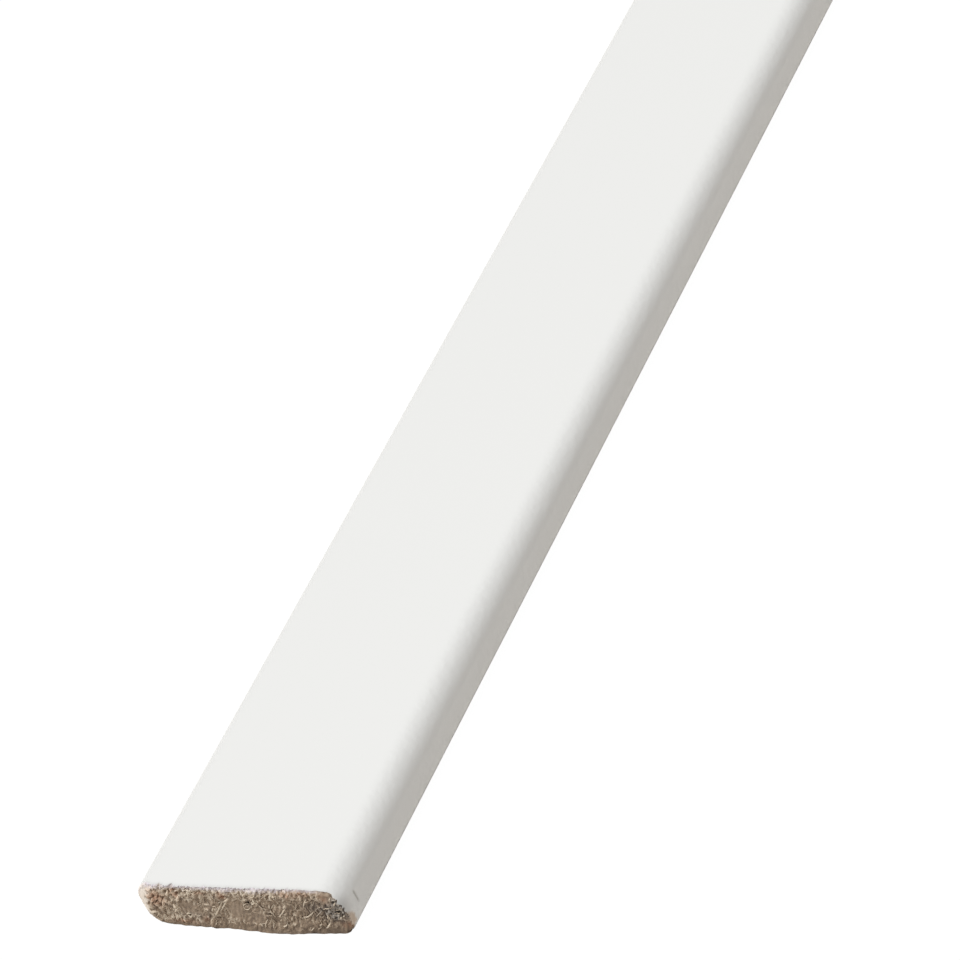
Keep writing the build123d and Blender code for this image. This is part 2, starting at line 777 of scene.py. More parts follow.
    def crumbs(self, x: np.ndarray, z: np.ndarray) -> np.ndarray:
        """Torn crumbs: raised on their crests and sunk in the gaps between them, with both cut level.

        One ripple makes rounded grains, and ridges run where a finer one changes sign. Both are longer
        along the saw's drag.

        Args:
            x: Places across the section.
            z: Places up the section.

        Returns:
            The share of the crumbs' height at each point.
        """
        rng = np.random.default_rng(self.seed + Draw.CRUMBS)
        along, across = self.dragged(x, z)
        grains = ripples(rng, across, along / self.drag, self.crumb_size)
        folds = np.abs(ripples(rng, across, along / self.drag, self.ridge_size))
        ridges = np.clip(self.ridge_top - self.ridge_slope * folds, self.crumb_gap, self.ridge_top)
        mixed = self.grain_share * grains + self.ridge_share * ridges + self.crumb_base
        return np.clip(mixed, self.crumb_gap, self.crumb_crest)

    @staticmethod
    def dragged(x: np.ndarray, z: np.ndarray) -> tuple[np.ndarray, np.ndarray]:
        """Places along and across the saw's drag: x and z turned by its heading."""
        cosine, sine = math.cos(DRAG_HEADING), math.sin(DRAG_HEADING)
        return cosine * x + sine * z, sine * x - cosine * z

    def core_out(self, x: np.ndarray, z: np.ndarray) -> np.ndarray:
        """Height of the torn core: a lip along the back, lumps, crumbs, grain, pits and the matted fibres.

        The lip swells right of the middle, falls away at both ends and fades with height. What is rough
        dies down in calm and soaked places and along the back's outline.

        Args:
            x: Places across the section.
            z: Places up the section.

        Returns:
            The height at each point.
        """
        rng = np.random.default_rng(self.seed + Draw.CORE)
        marks = self.marks(x, z)
        rim = np.where(z < self.section.thickness / 2.0, self.section.inset(x, z), self.rim_zone.high)
        rough = (1.0 - self.calming * marks[Mark.CALM]) * (1.0 - self.soak_calming * marks[Mark.SOAK])
        rough *= at_least(self.rim_least, self.rim_zone.rise(rim))
        out = mixed_ripples(rng, x, z, self.relief)
        out += self.crumb * self.crumbs(x, z) * at_least(self.crumb_least, marks[Mark.CRUMBLY])
        out += self.mat.sample(self.mat.heights, x, z)
        for pit in self.pits:
            out -= pit.pull(x, z)
        low = np.clip(1.0 - z / self.lip_height, 0.0, 1.0) ** 2
        lip = sum(hump.out(x) for hump in self.lip_humps) + mixed_ripples(rng, x, z, self.lip_waves)
        return lip * low + out * rough

    def out(self, x: np.ndarray, z: np.ndarray) -> np.ndarray:
        """Height of the whole end: the film at the coated outline, which gives way to the core.

        The left arris is rounded off by a quarter of an ellipse under its soaked coat.

        Args:
            x: Places across the section.
            z: Places up the section.

        Returns:
            The height at each point.
        """
        inset = self.section.inset(x, z)
        blend = self.blend_side + self.blend_face * self.face_zone.rise(z)
        inner = np.where(z > self.lap_height, self.blend_zone.rise(inset / blend), 1.0)
        out = (1.0 - inner) * self.film_out(x, z) + inner * self.core_out(x, z)
        short = np.clip(1.0 - inset / self.soak_width, 0.0, 1.0)
        rounding = self.soak_round * self.left_side(x) * self.round_foot.rise(z)
        return out - rounding * (1.0 - np.sqrt(1.0 - short**2))

    def tone(self, x: np.ndarray, z: np.ndarray) -> np.ndarray:
        """Lightness of the core: the fibres' own, paler on crests and darker in the gaps as painted
        highlights and painted shade, paler to the left and darker to the right as partly painted light from
        the left, and paler near the face.

        It is combed along the saw's drag, and evens out in calm places and along the back.

        Args:
            x: Places across the section.
            z: Places up the section.

        Returns:
            The lightness at each point, from 0 to 1.
        """
        rng = np.random.default_rng(self.seed + Draw.COMBING)
        marks = self.marks(x, z)
        along, across = self.dragged(x, z)
        own = self.mat.sample(self.mat.tones, x, z) - self.mat.flat_tone
        # Crests painted lighter and gaps darker: painted highlights and painted shade.
        crest_shading = self.crest_highlight_and_shade * self.crumbs(x, z) * at_least(self.crest_least, marks[Mark.CRUMBLY])
        spread = (own + crest_shading) * (1.0 - self.calming * marks[Mark.CALM])
        spread = spread * at_least(self.even_least, self.even_zone.rise(z))
        light = self.foot_light * self.foot_zone.rise(z) + self.top_light * self.top_zone.rise(z)
        light = light + self.patch_light * (marks[Mark.PALE] - marks[Mark.DEEP]) + self.tone_base
        # Darker to the right: partly painted light from the left.
        lean = self.lean_light * x - self.right_dark * self.dark_zone.rise(x)
        combed = self.combing * ripples(rng, across, along / self.comb_stretch, self.comb_size)
        return np.clip(self.mat.flat_tone + spread + combed + light + lean, 0.0, 1.0)


@dataclass
class MeshParts:
    """Arrays of one mesh: vertices, faces of any size, each face's finish and each corner's map place."""

    points: list[np.ndarray] = field(default_factory=list)
    corners: list[np.ndarray] = field(default_factory=list)
    sizes: list[np.ndarray] = field(default_factory=list)
    coats: list[np.ndarray] = field(default_factory=list)
    places: list[np.ndarray] = field(default_factory=list)
    total: int = 0

    def add_points(self, points: np.ndarray) -> np.ndarray:
        """Adds vertices.

        Args:
            points: Places of the vertices in metres, on the last axis of an array of any shape.

        Returns:
            The vertices' numbers, in the shape of the array less its last axis.
        """
        shape = points.shape[:-1]
        numbers = np.arange(self.total, self.total + math.prod(shape)).reshape(shape)
        self.points.append(points.reshape(-1, 3))
        self.total += numbers.size
        return numbers

    def add_faces(self, corners: np.ndarray, coats: np.ndarray | int, places: np.ndarray) -> None:
        """Adds faces of one size.

        Args:
            corners: Vertex numbers, one row a face.
            coats: Material slot of each face, or of all.
            places: Map places (u, v) of each face's corners.
        """
        count, size = corners.shape
        self.corners.append(corners.ravel())
        self.sizes.append(np.full(count, size))
        self.coats.append(np.broadcast_to(np.asarray(coats), count))
        self.places.append(places.reshape(-1, 2))

    def build(
        self, name: str, attributes: dict[str, np.ndarray], materials: list[bpy.types.Material]
    ) -> bpy.types.Object:
        """Makes the Blender object.

        Args:
            name: Name of the object and its mesh.
            attributes: Point attributes, one number for each vertex.
            materials: Materials in the order of the slots.

        Returns:
            The object, linked to the scene, at the origin.
        """
        points = np.concatenate(self.points)
        corners = np.concatenate(self.corners)
        sizes = np.concatenate(self.sizes)
        mesh = bpy.data.meshes.new(name)
        mesh.vertices.add(len(points))
        mesh.vertices.foreach_set("co", points.astype(np.float32).ravel())
        mesh.loops.add(len(corners))
        mesh.loops.foreach_set("vertex_index", corners.astype(np.int32))
        mesh.polygons.add(len(sizes))
        mesh.polygons.foreach_set("loop_start", np.concatenate([[0], np.cumsum(sizes)[:-1]]).astype(np.int32))
        mesh.polygons.foreach_set("material_index", np.concatenate(self.coats).astype(np.int32))
        mesh.polygons.foreach_set("use_smooth", np.ones(len(sizes), dtype=bool))
        layer = mesh.uv_layers.new(name=BAKE_MAP, do_init=False)
        layer.uv.foreach_set("vector", np.concatenate(self.places).astype(np.float32).ravel())
        for title, values in attributes.items():
            made = mesh.attributes.new(title, "FLOAT", "POINT")
            made.data.foreach_set("value", values.astype(np.float32))
        for material in materials:
            mesh.materials.append(material)
        mesh.update(calc_edges=True)
        mesh.validate()
        piece = bpy.data.objects.new(name, mesh)
        bpy.context.scene.collection.objects.link(piece)
        return piece


@dataclass(frozen=True)
class MapArea:
    """Rectangle of the bake map that a stretch of surface is laid out on."""

    left: float
    low: float
    right: float
    high: float

    def place(self, u: np.ndarray, v: np.ndarray) -> np.ndarray:
        """Lays points out in the rectangle.

        Args:
            u: Shares of its width, from 0 to 1.
            v: Shares of its height, from 0 to 1.

        Returns:
            Map places on a last axis.
        """
        across = self.left + (self.right - self.left) * u
        up = self.low + (self.high - self.low) * v
        return np.stack(np.broadcast_arrays(across, up), axis=-1)


def quads(numbers: np.ndarray, flipped: bool = False) -> np.ndarray:
    """Faces between neighbouring rows and columns of a grid of values, as rows of four.

    Args:
        numbers: Grid of vertex numbers, or of map places on a last axis.
        flipped: Turns the faces' direction round.

    Returns:
        The four corners of each cell.
    """
    corners = [numbers[:-1, :-1], numbers[1:, :-1], numbers[1:, 1:], numbers[:-1, 1:]]
    if flipped:
        corners = corners[::-1]
    return np.stack(corners, axis=2).reshape(-1, 4, *numbers.shape[2:])


def closed(loop: np.ndarray) -> np.ndarray:
    """Rows of loop values with the first value repeated at the end of each row."""
    return np.concatenate([loop, loop[..., :1]], axis=-1)


@dataclass(frozen=True)
class LacquerFinish:
    """Satin white acrylic lacquer, sprayed on primed fibreboard: a soft white with a faint orange peel."""

    colour: str = "#DDDDDB"
    # Grey that grime and painted shade darken the lacquer towards
    grime_and_shade_colour: str = "#85817A"
    worn_colour: str = "#C0AD9A"
    nib_colour: str = "#D2D1CC"
    roughness: float = 0.46
    ior: float = 1.49
    peel_mm: float = 0.65
    grain_height_mm: float = 0.055
    face_share: float = 0.1
    round_starts_mm: float = 9.2
    round_ends_mm: float = 10.6
    nib_spacing_mm: float = 11.0
    nib_radius_mm: float = 0.16
    nib_core_mm: float = 0.064
    nib_height_mm: float = 0.03

    def material(self) -> bpy.types.Material:
        """Makes the lacquer: even white, sparse dust nibs, orange peel, worn corners, and grime with painted
        shade near the cut, in the nick and beside the torn corner.

        Returns:
            The material.
        """
        material, tree, shader = new_material("satin_white_lacquer")
        place = add_node(tree, "ShaderNodeTexCoord").outputs["Object"]
        cells = add_node(
            tree,
            "ShaderNodeTexVoronoi",
            values={"Scale": per_metre(self.nib_spacing_mm), "Randomness": 1.0},
            links={"Vector": place},
        )
        nib = add_node(
            tree,
            "ShaderNodeMapRange",
            {"interpolation_type": "SMOOTHSTEP"},
            {
                "From Min": self.nib_radius_mm / self.nib_spacing_mm,
                "From Max": self.nib_core_mm / self.nib_spacing_mm,
                "To Min": 0.0,
                "To Max": 1.0,
            },
            {"Value": cells.outputs["Distance"]},
        )
        speckled = add_node(
            tree,
            "ShaderNodeMix",
            {"data_type": "RGBA"},
            {COLOUR_A: to_linear(self.colour), COLOUR_B: to_linear(self.nib_colour)},
            {MIX_FACTOR: nib.outputs["Result"]},
        )
        colour = speckled.outputs[MIXED_COLOUR]
        # The last mix darkens the lacquer by grime and by painted shade in the nick and beside the torn
        # corner.
        for title, over in ((WORN, self.worn_colour), (GRIME_AND_SHADE, self.grime_and_shade_colour)):
            strength = add_node(tree, "ShaderNodeAttribute", {"attribute_name": title})
            mixed = add_node(
                tree,
                "ShaderNodeMix",
                {"data_type": "RGBA"},
                {COLOUR_B: to_linear(over)},
                {MIX_FACTOR: strength.outputs["Fac"], COLOUR_A: colour},
            )
            colour = mixed.outputs[MIXED_COLOUR]
        peel = add_node(
            tree,
            "ShaderNodeTexNoise",
            values={"Scale": per_metre(self.peel_mm), "Detail": 2.0, "Roughness": 0.4},
            links={"Vector": place},
        )
        # The routed rounds show more of the board's raised grain than the pressed face does.
        axes = add_node(tree, "ShaderNodeSeparateXYZ", links={"Vector": place})
        aside = add_node(tree, "ShaderNodeMath", {"operation": "ABSOLUTE"}, links={0: axes.outputs["X"]})
        grain_share = add_node(
            tree,
            "ShaderNodeMapRange",
            {"interpolation_type": "SMOOTHSTEP"},
            {
                "From Min": self.round_starts_mm * MM,
                "From Max": self.round_ends_mm * MM,
                "To Min": self.face_share,
                "To Max": 1.0,
            },
            {"Value": aside.outputs["Value"]},
        )
        dimpled = add_node(
            tree,
            "ShaderNodeBump",
            values={"Distance": self.grain_height_mm * MM},
            links={"Strength": grain_share.outputs["Result"], "Height": peel.outputs["Fac"]},
        )
        raised = add_node(
            tree,
            "ShaderNodeBump",
            values={"Strength": 1.0, "Distance": self.nib_height_mm * MM},
            links={"Height": nib.outputs["Result"], "Normal": dimpled.outputs["Normal"]},
        )
        tree.links.new(colour, shader.inputs["Base Color"])
        tree.links.new(raised.outputs["Normal"], shader.inputs["Normal"])
        shader.inputs["Roughness"].default_value = self.roughness
        shader.inputs["IOR"].default_value = self.ior
        return material


@dataclass(frozen=True)
class TornFibreFinish:
    """Torn fibreboard: matted wood fibres from brown to straw, dull, with stained, grey and soaked places.

    Single fibres are too fine to show, so the flecks are as coarse as bundles of them.
    """

    brown_stops: tuple[tuple[float, str], ...] = ((0.12, "#66574A"), (0.5, "#9F8C78"), (0.88, "#DDD0BC"))
    grey_stops: tuple[tuple[float, str], ...] = ((0.22, "#514A44"), (0.74, "#BCB4AA"))
    stain: str = "#ECC9BA"
    soak: str = "#F0E5D8"
    film: str = "#D9D3DA"
    roughness: float = 0.92
    specular: float = 0.25
    sheen: float = 0.08
    fleck_mm: float = 0.12
    fleck_share: float = 0.3
    fleck_height_mm: float = 0.015

    def material(self) -> bpy.types.Material:
        """Makes the torn core: the fibres' tone through a brown or grey ramp, then the coats on it.

        Returns:
            The material.
        """
        material, tree, shader = new_material("torn_fibreboard")
        place = add_node(tree, "ShaderNodeTexCoord").outputs["Object"]
        flecks = add_node(
            tree,
            "ShaderNodeTexNoise",
            values={"Scale": per_metre(self.fleck_mm), "Detail": 3.0, "Roughness": 0.6},
            links={"Vector": place},
        )
        tone = add_node(tree, "ShaderNodeAttribute", {"attribute_name": TONE})
        uneven = add_node(
            tree,
            "ShaderNodeMix",
            {"data_type": "FLOAT"},
            {MIX_FACTOR: self.fleck_share},
            {NUMBER_A: tone.outputs["Fac"], NUMBER_B: flecks.outputs["Fac"]},
        ).outputs[MIXED_NUMBER]
        brown = add_node(tree, "ShaderNodeValToRGB", links={"Fac": uneven}, stops=self.brown_stops)
        grey = add_node(tree, "ShaderNodeValToRGB", links={"Fac": uneven}, stops=self.grey_stops)
        shade = add_node(tree, "ShaderNodeAttribute", {"attribute_name": Mark.SHADE.value})
        shaded = add_node(
            tree,
            "ShaderNodeMix",
            {"data_type": "RGBA"},
            links={
                MIX_FACTOR: shade.outputs["Fac"],
                COLOUR_A: brown.outputs["Color"],
                COLOUR_B: grey.outputs["Color"],
            },
        )
        colour = shaded.outputs[MIXED_COLOUR]
        for mark, over, blend in (
            (Mark.STAIN, self.stain, "MULTIPLY"),
            (Mark.SOAK, self.soak, "MIX"),
            (Mark.FILM, self.film, "MIX"),
        ):
            strength = add_node(tree, "ShaderNodeAttribute", {"attribute_name": mark.value})
            mixed = add_node(
                tree,
                "ShaderNodeMix",
                {"data_type": "RGBA", "blend_type": blend},
                {COLOUR_B: to_linear(over)},
                {MIX_FACTOR: strength.outputs["Fac"], COLOUR_A: colour},
            )
            colour = mixed.outputs[MIXED_COLOUR]
        rough = add_node(
            tree,
            "ShaderNodeBump",
            values={"Strength": 1.0, "Distance": self.fleck_height_mm * MM},
            links={"Height": flecks.outputs["Fac"]},
        )
        tree.links.new(colour, shader.inputs["Base Color"])
        tree.links.new(rough.outputs["Normal"], shader.inputs["Normal"])
        shader.inputs["Roughness"].default_value = self.roughness
        shader.inputs["Specular IOR Level"].default_value = self.specular
        shader.inputs["Sheen Weight"].default_value = self.sheen
        return material


@dataclass(frozen=True)
class BareBoardFinish:
    """Bare fibreboard, pressed or sawn: even brown with pale and dark flecks, and overspray by the lap.

    The overspray is a mist that thickens from where it starts to where it covers, measured from the middle
    of the back, with an uneven front.
    """

    title: str
    base: str = "#A88C6E"
    pale: str = "#C9B294"
    dark: str = "#80664D"
    dark_stop: float = 0.30
    base_stop: float = 0.5
    pale_stop: float = 0.72
    overspray: str = "#E6E4DF"
    roughness: float = 0.82
    specular: float = 0.3
    fleck_mm: tuple[float, float, float] = (1.6, 1.6, 1.6)
    fleck_height_mm: float = 0.012
    spray_from_mm: float | None = None
    spray_to_mm: float = 11.5
    spray_uneven_mm: float = 2.0

    def material(self) -> bpy.types.Material:
        """Makes the bare board: flecks through a brown ramp, and overspray where it is asked for.

        Returns:
            The material.
        """
        material, tree, shader = new_material(self.title)
        place = add_node(tree, "ShaderNodeTexCoord").outputs["Object"]
        stretched = add_node(
            tree,
            "ShaderNodeMapping",
            values={"Scale": [per_metre(size) for size in self.fleck_mm]},
            links={"Vector": place},
        )
        flecks = add_node(
            tree,
            "ShaderNodeTexNoise",
            values={"Scale": 1.0, "Detail": 5.0, "Roughness": 0.7},
            links={"Vector": stretched.outputs["Vector"]},
        )
        ramp = add_node(
            tree,
            "ShaderNodeValToRGB",
            links={"Fac": flecks.outputs["Fac"]},
            stops=((self.dark_stop, self.dark), (self.base_stop, self.base), (self.pale_stop, self.pale)),
        )
        colour = ramp.outputs["Color"]
        if self.spray_from_mm is not None:
            axes = add_node(tree, "ShaderNodeSeparateXYZ", links={"Vector": place})
            aside = add_node(tree, "ShaderNodeMath", {"operation": "ABSOLUTE"}, links={0: axes.outputs["X"]})
            misty = add_node(
                tree,
                "ShaderNodeMath",
                {"operation": "MULTIPLY_ADD"},
                {1: self.spray_uneven_mm * MM},
                {0: flecks.outputs["Fac"], 2: aside.outputs["Value"]},
            )
            # The flecks average a half, so they push the front out by half of its unevenness.
            push = self.spray_uneven_mm / 2.0
            mist = add_node(
                tree,
                "ShaderNodeMapRange",
                {"interpolation_type": "SMOOTHSTEP"},
                {"From Min": (self.spray_from_mm + push) * MM, "From Max": (self.spray_to_mm + push) * MM},
                {"Value": misty.outputs["Value"]},
            )
            sprayed = add_node(
                tree,
                "ShaderNodeMix",
                {"data_type": "RGBA"},
                {COLOUR_B: to_linear(self.overspray)},
                {MIX_FACTOR: mist.outputs["Result"], COLOUR_A: colour},
            )
            colour = sprayed.outputs[MIXED_COLOUR]
        rough = add_node(
            tree,
            "ShaderNodeBump",
            values={"Strength": 1.0, "Distance": self.fleck_height_mm * MM},
            links={"Height": flecks.outputs["Fac"]},
        )
        tree.links.new(colour, shader.inputs["Base Color"])
        tree.links.new(rough.outputs["Normal"], shader.inputs["Normal"])
        shader.inputs["Roughness"].default_value = self.roughness
        shader.inputs["Specular IOR Level"].default_value = self.specular
        return material


@dataclass
class Board:
    """The whole length of moulding as one closed mesh: skin, torn near end and sawn far end."""

    section: Section
    torn: TornEnd
    near_y: float
    far_y: float
    # Steps of the fine grid on the near end, and how many of them make one step of the skin
    arc_steps: int = 60
    flat_steps: int = 275
    rise_steps: int = 80
    coarsening: int = 5
    # Rows of the rim by distance from the cut: the nick's by first, last and number, the stitched one last
    edge_rows: int = 12
    edge_crowding: float = 1.3
    edge_reach: float = 1.55
    nick_rows: tuple[float, float, int] = (1.8, 2.4, 13)
    wide_rows: tuple[float, ...] = (2.7, 3.2, 4.0, 5.2)
    stitch_row: float = 7.0
    # How far the ragged edge of the cut reaches along the skin
    ragged_reach: float = 1.2
    # Nick on the right side
    nick_y: float = 2.05
    nick_low: float = 2.4
    nick_slant: float = 0.045
    nick_half_width: float = 0.13
    nick_depth: float = 0.08
    nick_foot: Ramp = Ramp(2.3, 2.65)
    nick_head: Ramp = Ramp(3.6, 4.0)
    # Darkens the lacquer in the groove: painted shade in the recess.
    nick_shade: float = 0.60
    # Worn patch low on the right side
    worn_reach: float = 0.7
    worn_border: Ramp = Ramp(0.75, 1.25)
    worn_foot: Ramp = Ramp(0.9, 1.7)
    worn_top: Ramp = Ramp(2.9, 3.5)
    worn_ragged: float = 0.15
    worn_wave: float = 0.7
    worn_seed: int = 31
    # Darkening of the side above the worn patch: partly grime, partly painted shade beside the torn corner's
    # overhanging fibres
    smudge_and_shade_along: Ramp = Ramp(0.0, 1.5)
    smudge_and_shade_foot: Ramp = Ramp(2.4, 3.2)
    smudge_and_shade_top: Ramp = Ramp(4.4, 5.2)
    smudge_and_shade_strength: float = 0.35
    # Frayed edge of the face's lacquer
    frayed_reach: float = 0.25
    frayed_face: Ramp = Ramp(5.2, 5.8)
    frayed_start: Ramp = Ramp(-11.4, -10.0)
    frayed_mean: float = 0.85
    frayed_spread: float = 0.15
    frayed_most: float = 1.5
    frayed_wave: float = 0.9
    frayed_grime: float = 0.22
    frayed_seed: int = 37
    # Marks of the blade on the far end
    saw_ridge: float = 0.03
    saw_pitch: float = 1.4
    saw_bend: float = 0.02
    saw_uneven: float = 0.5
    saw_wave: float = 2.0
    saw_seed: int = 23
    # Areas of the bake map, and the share of the rim's area that lies before the stitch
    near_area: MapArea = MapArea(0.004, 0.004, 0.996, 0.256)
    rim_area: MapArea = MapArea(0.004, 0.264, 0.996, 0.420)
    skin_area: MapArea = MapArea(0.004, 0.428, 0.996, 0.900)
    far_area: MapArea = MapArea(0.004, 0.908, 0.350, 0.996)
    rim_share: float = 0.94

    def rim_rows(self) -> np.ndarray:
        """Distances of the fine rows from the cut: close at the ragged edge and at the nick, then wider."""
        edge = np.linspace(0.0, 1.0, self.edge_rows + 1)[1:] ** self.edge_crowding * self.edge_reach
        return np.concatenate([edge, np.linspace(*self.nick_rows), self.wide_rows])

    def sawn_out(self, x: np.ndarray, z: np.ndarray) -> np.ndarray:
        """Height of the sawn end: shallow ridges that the blade left, bent as its teeth swing through.

        The ridges are a cosine across the end, whose phase bends with the square of the height above
        the middle, with ripples added.

        Args:
            x: Places across the section.
            z: Places up the section.

        Returns:
            The height at each point.
        """
        swing = x + self.saw_bend * (z - self.section.thickness / 2.0) ** 2
        uneven = self.saw_uneven * ripples(np.random.default_rng(self.saw_seed), x, z, self.saw_wave)
        return self.saw_ridge * (np.cos(TAU * swing / self.saw_pitch) + uneven)

    def nick_weight(self, along: np.ndarray, x: np.ndarray, z: np.ndarray) -> np.ndarray:
        """Strength of the nick across the right side: a bell along the board, faded at its two tips.

        Args:
            along: Distances from the cut.
            x: Places across the section.
            z: Places up the section.

        Returns:
            The strength at each point, from 0 to 1.
        """
        middle = self.nick_y + self.nick_slant * (z - self.nick_low)
        bell = np.exp(-(((along - middle) / self.nick_half_width) ** 2))
        return bell * self.nick_foot.rise(z) * self.nick_head.fall(z) * (x > 0.0)

    def worn(self, along: np.ndarray, x: np.ndarray, z: np.ndarray) -> np.ndarray:
        """How far the lacquer is worn through: a patch low on the right side, sloping down from the cut.

        Args:
            along: Distances from the cut.
            x: Places across the section.
            z: Places up the section.

        Returns:
            The wear at each point, from 0 to 1.
        """
        rng = np.random.default_rng(self.worn_seed)
        reach = self.worn_reach * (1.0 + self.worn_ragged * ripples(rng, z, z, self.worn_wave))
        near = self.worn_border.fall(along / reach)
        return near * self.worn_foot.rise(z) * self.worn_top.fall(z + along) * (x > 0.0)

    def smudge_and_shade(self, along: np.ndarray, x: np.ndarray, z: np.ndarray) -> np.ndarray:
        """Darkening on the side above the worn patch, partly grime and partly painted shade beside the torn
        corner's overhanging fibres: densest at the cut, gone within its reach.
        """
        patch = self.smudge_and_shade_foot.rise(z) * self.smudge_and_shade_top.fall(z) * (x > 0.0)
        return self.smudge_and_shade_strength * self.smudge_and_shade_along.fall(along) * patch

    def frayed(self, along: np.ndarray, x: np.ndarray, z: np.ndarray) -> np.ndarray:
        """Dull, frayed edge of the face's lacquer: a bell that falls off from the cut, broken by ripples.

        Args:
            along: Distances from the cut.
            x: Places across the section.
            z: Places up the section.

        Returns:
            The grime at each point.
        """
        rng = np.random.default_rng(self.frayed_seed)
        broken = self.frayed_mean + self.frayed_spread * ripples(rng, x, x, self.frayed_wave)
        on_face = self.frayed_face.rise(z) * self.frayed_start.rise(x)
        bell = np.exp(-((along / self.frayed_reach) ** 2))
        return self.frayed_grime * np.clip(broken, 0.0, self.frayed_most) * on_face * bell

    def grime_and_shade(self, along: np.ndarray, x: np.ndarray, z: np.ndarray) -> np.ndarray:
        """Grime and painted shade on the lacquer near the cut: the strongest of the nick's painted shade, the
        smudge's grime and painted shade, and the frayed edge's grime.
        """
        nick = self.nick_shade * self.nick_weight(along, x, z)
        return np.maximum(np.maximum(nick, self.smudge_and_shade(along, x, z)), self.frayed(along, x, z))

    def build(self, materials: list[bpy.types.Material]) -> bpy.types.Object:
        """Builds the closed mesh.

        The near end is a fine grid whose outline carries a fine rim along the skin. The rim is stitched to
        a coarser skin, which runs straight to the coarser grid of the far end.

        Args:
            materials: Materials in the order of Coat.

        Returns:
            The board's object.
        """
        parts = MeshParts()
        fine = EndGrid(self.section, self.arc_steps, self.flat_steps, self.rise_steps)
        ratio = self.coarsening
        coarse = EndGrid(
            self.section, self.arc_steps // ratio, self.flat_steps // ratio, self.rise_steps // ratio
        )
        x, z = fine.points()
        out = self.torn.out(x, z)
        near = parts.add_points(np.stack([x, self.near_y - out, z], axis=-1) * MM)
        marks = self.torn.marks(x, z)
        attributes = {mark.value: [marks[mark].ravel()] for mark in COLOUR_MARKS}
        attributes[TONE] = [self.torn.tone(x, z).ravel()]
        # Grime, and painted shade in the nick and beside the torn corner
        attributes[GRIME_AND_SHADE] = [self.grime_and_shade(np.zeros_like(x), x, z).ravel()]
        attributes[WORN] = [self.worn(np.zeros_like(x), x, z).ravel()]
        u = np.linspace(0.0, 1.0, fine.columns + 1)[:, None]
        v = np.linspace(0.0, 1.0, fine.rise_steps + 1)
        parts.add_faces(quads(near), Coat.TORN_CORE, quads(self.near_area.place(u, v)))

        loop_x, loop_z, loop_out = border(x), border(z), border(out)
        along = self.rim_rows()[:, None]
        fade = np.clip(1.0 - along / self.ragged_reach, 0.0, 1.0) ** 2
        nick = self.nick_weight(along, loop_x, loop_z)
        rim_x = loop_x - self.nick_depth * nick
        rim_y = self.near_y + along - fade * loop_out
        rim = np.stack(np.broadcast_arrays(rim_x, rim_y, loop_z), axis=-1)
        rim_numbers = np.concatenate([border(near)[None], parts.add_points(rim * MM)])
        attributes[GRIME_AND_SHADE].append(self.grime_and_shade(along, loop_x, loop_z).ravel())
        attributes[WORN].append(self.worn(along, loop_x, loop_z).ravel())
        for name in (TONE, *(mark.value for mark in COLOUR_MARKS)):
            attributes[name].append(np.zeros(nick.size))
        self.add_rim(parts, rim_numbers, loop_z)

        far_x, far_z = coarse.points()
        stitch_y = np.full(border(far_x).size, self.near_y + self.stitch_row)
        start = parts.add_points(np.stack([border(far_x), stitch_y, border(far_z)], axis=-1) * MM)
        far_out = self.sawn_out(far_x, far_z)
        far = parts.add_points(np.stack([far_x, self.far_y + far_out, far_z], axis=-1) * MM)
        height = closed(border(far_z))
        middle = (height[:-1] + height[1:]) / 2.0
        coats = np.where(middle > self.torn.lap_height, Coat.LACQUER, Coat.BARE_BACK)
        self.add_stitch(parts, rim_numbers[-1], start, coats)
        self.add_skin(parts, np.stack([start, border(far)]), coats)
        u = np.linspace(0.0, 1.0, coarse.columns + 1)[:, None]
        v = np.linspace(0.0, 1.0, coarse.rise_steps + 1)
        parts.add_faces(quads(far, True), Coat.SAWN_CORE, quads(self.far_area.place(u, v), True))
        for values in attributes.values():
            values.append(np.zeros(start.size + far.size))
        joined = {name: np.concatenate(values) for name, values in attributes.items()}
        piece = parts.build("skirting_board_dressed", joined, materials)
        self.sharpen(piece.data, np.concatenate([border(near), border(far)]))
        return piece

    def add_rim(self, parts: MeshParts, rim: np.ndarray, loop_z: np.ndarray) -> None:
        """Adds the skin beside the cut: lacquer down to the lap line, bare back below it.

        Args:
            parts: Arrays of the board's mesh.
            rim: Vertex numbers, by row away from the cut and by place round the outline.
            loop_z: Heights round the outline.
        """
        u = np.linspace(0.0, 1.0, rim.shape[1] + 1)
        v = np.linspace(0.0, self.rim_share, rim.shape[0])[:, None]
        height = quads(np.broadcast_to(closed(loop_z), (rim.shape[0], len(u)))).mean(axis=1)
        coats = np.where(height > self.torn.lap_height, Coat.LACQUER, Coat.BARE_BACK)
        parts.add_faces(quads(closed(rim)), coats, quads(self.rim_area.place(u, v)))

    def add_stitch(self, parts: MeshParts, fine: np.ndarray, coarse: np.ndarray, coats: np.ndarray) -> None:
        """Joins the fine loop to the coarse one: each coarse step takes in several fine ones.

        Args:
            parts: Arrays of the board's mesh.
            fine: Vertex numbers round the rim's last row.
            coarse: Vertex numbers round the skin's first row.
            coats: Finish of each coarse step.
        """
        ratio = self.coarsening
        steps = np.arange(coarse.size)
        fine_steps = steps[:, None] * ratio + np.arange(ratio, -1, -1)
        ring, wide = closed(fine), closed(coarse)
        corners = np.concatenate([wide[steps][:, None], wide[steps + 1][:, None], ring[fine_steps]], axis=1)
        u = np.concatenate([steps[:, None], steps[:, None] + 1, fine_steps / ratio], axis=1) / coarse.size
        v = np.concatenate([np.full(2, 1.0), np.full(ratio + 1, self.rim_share)])
        parts.add_faces(corners, coats, self.rim_area.place(u, v))

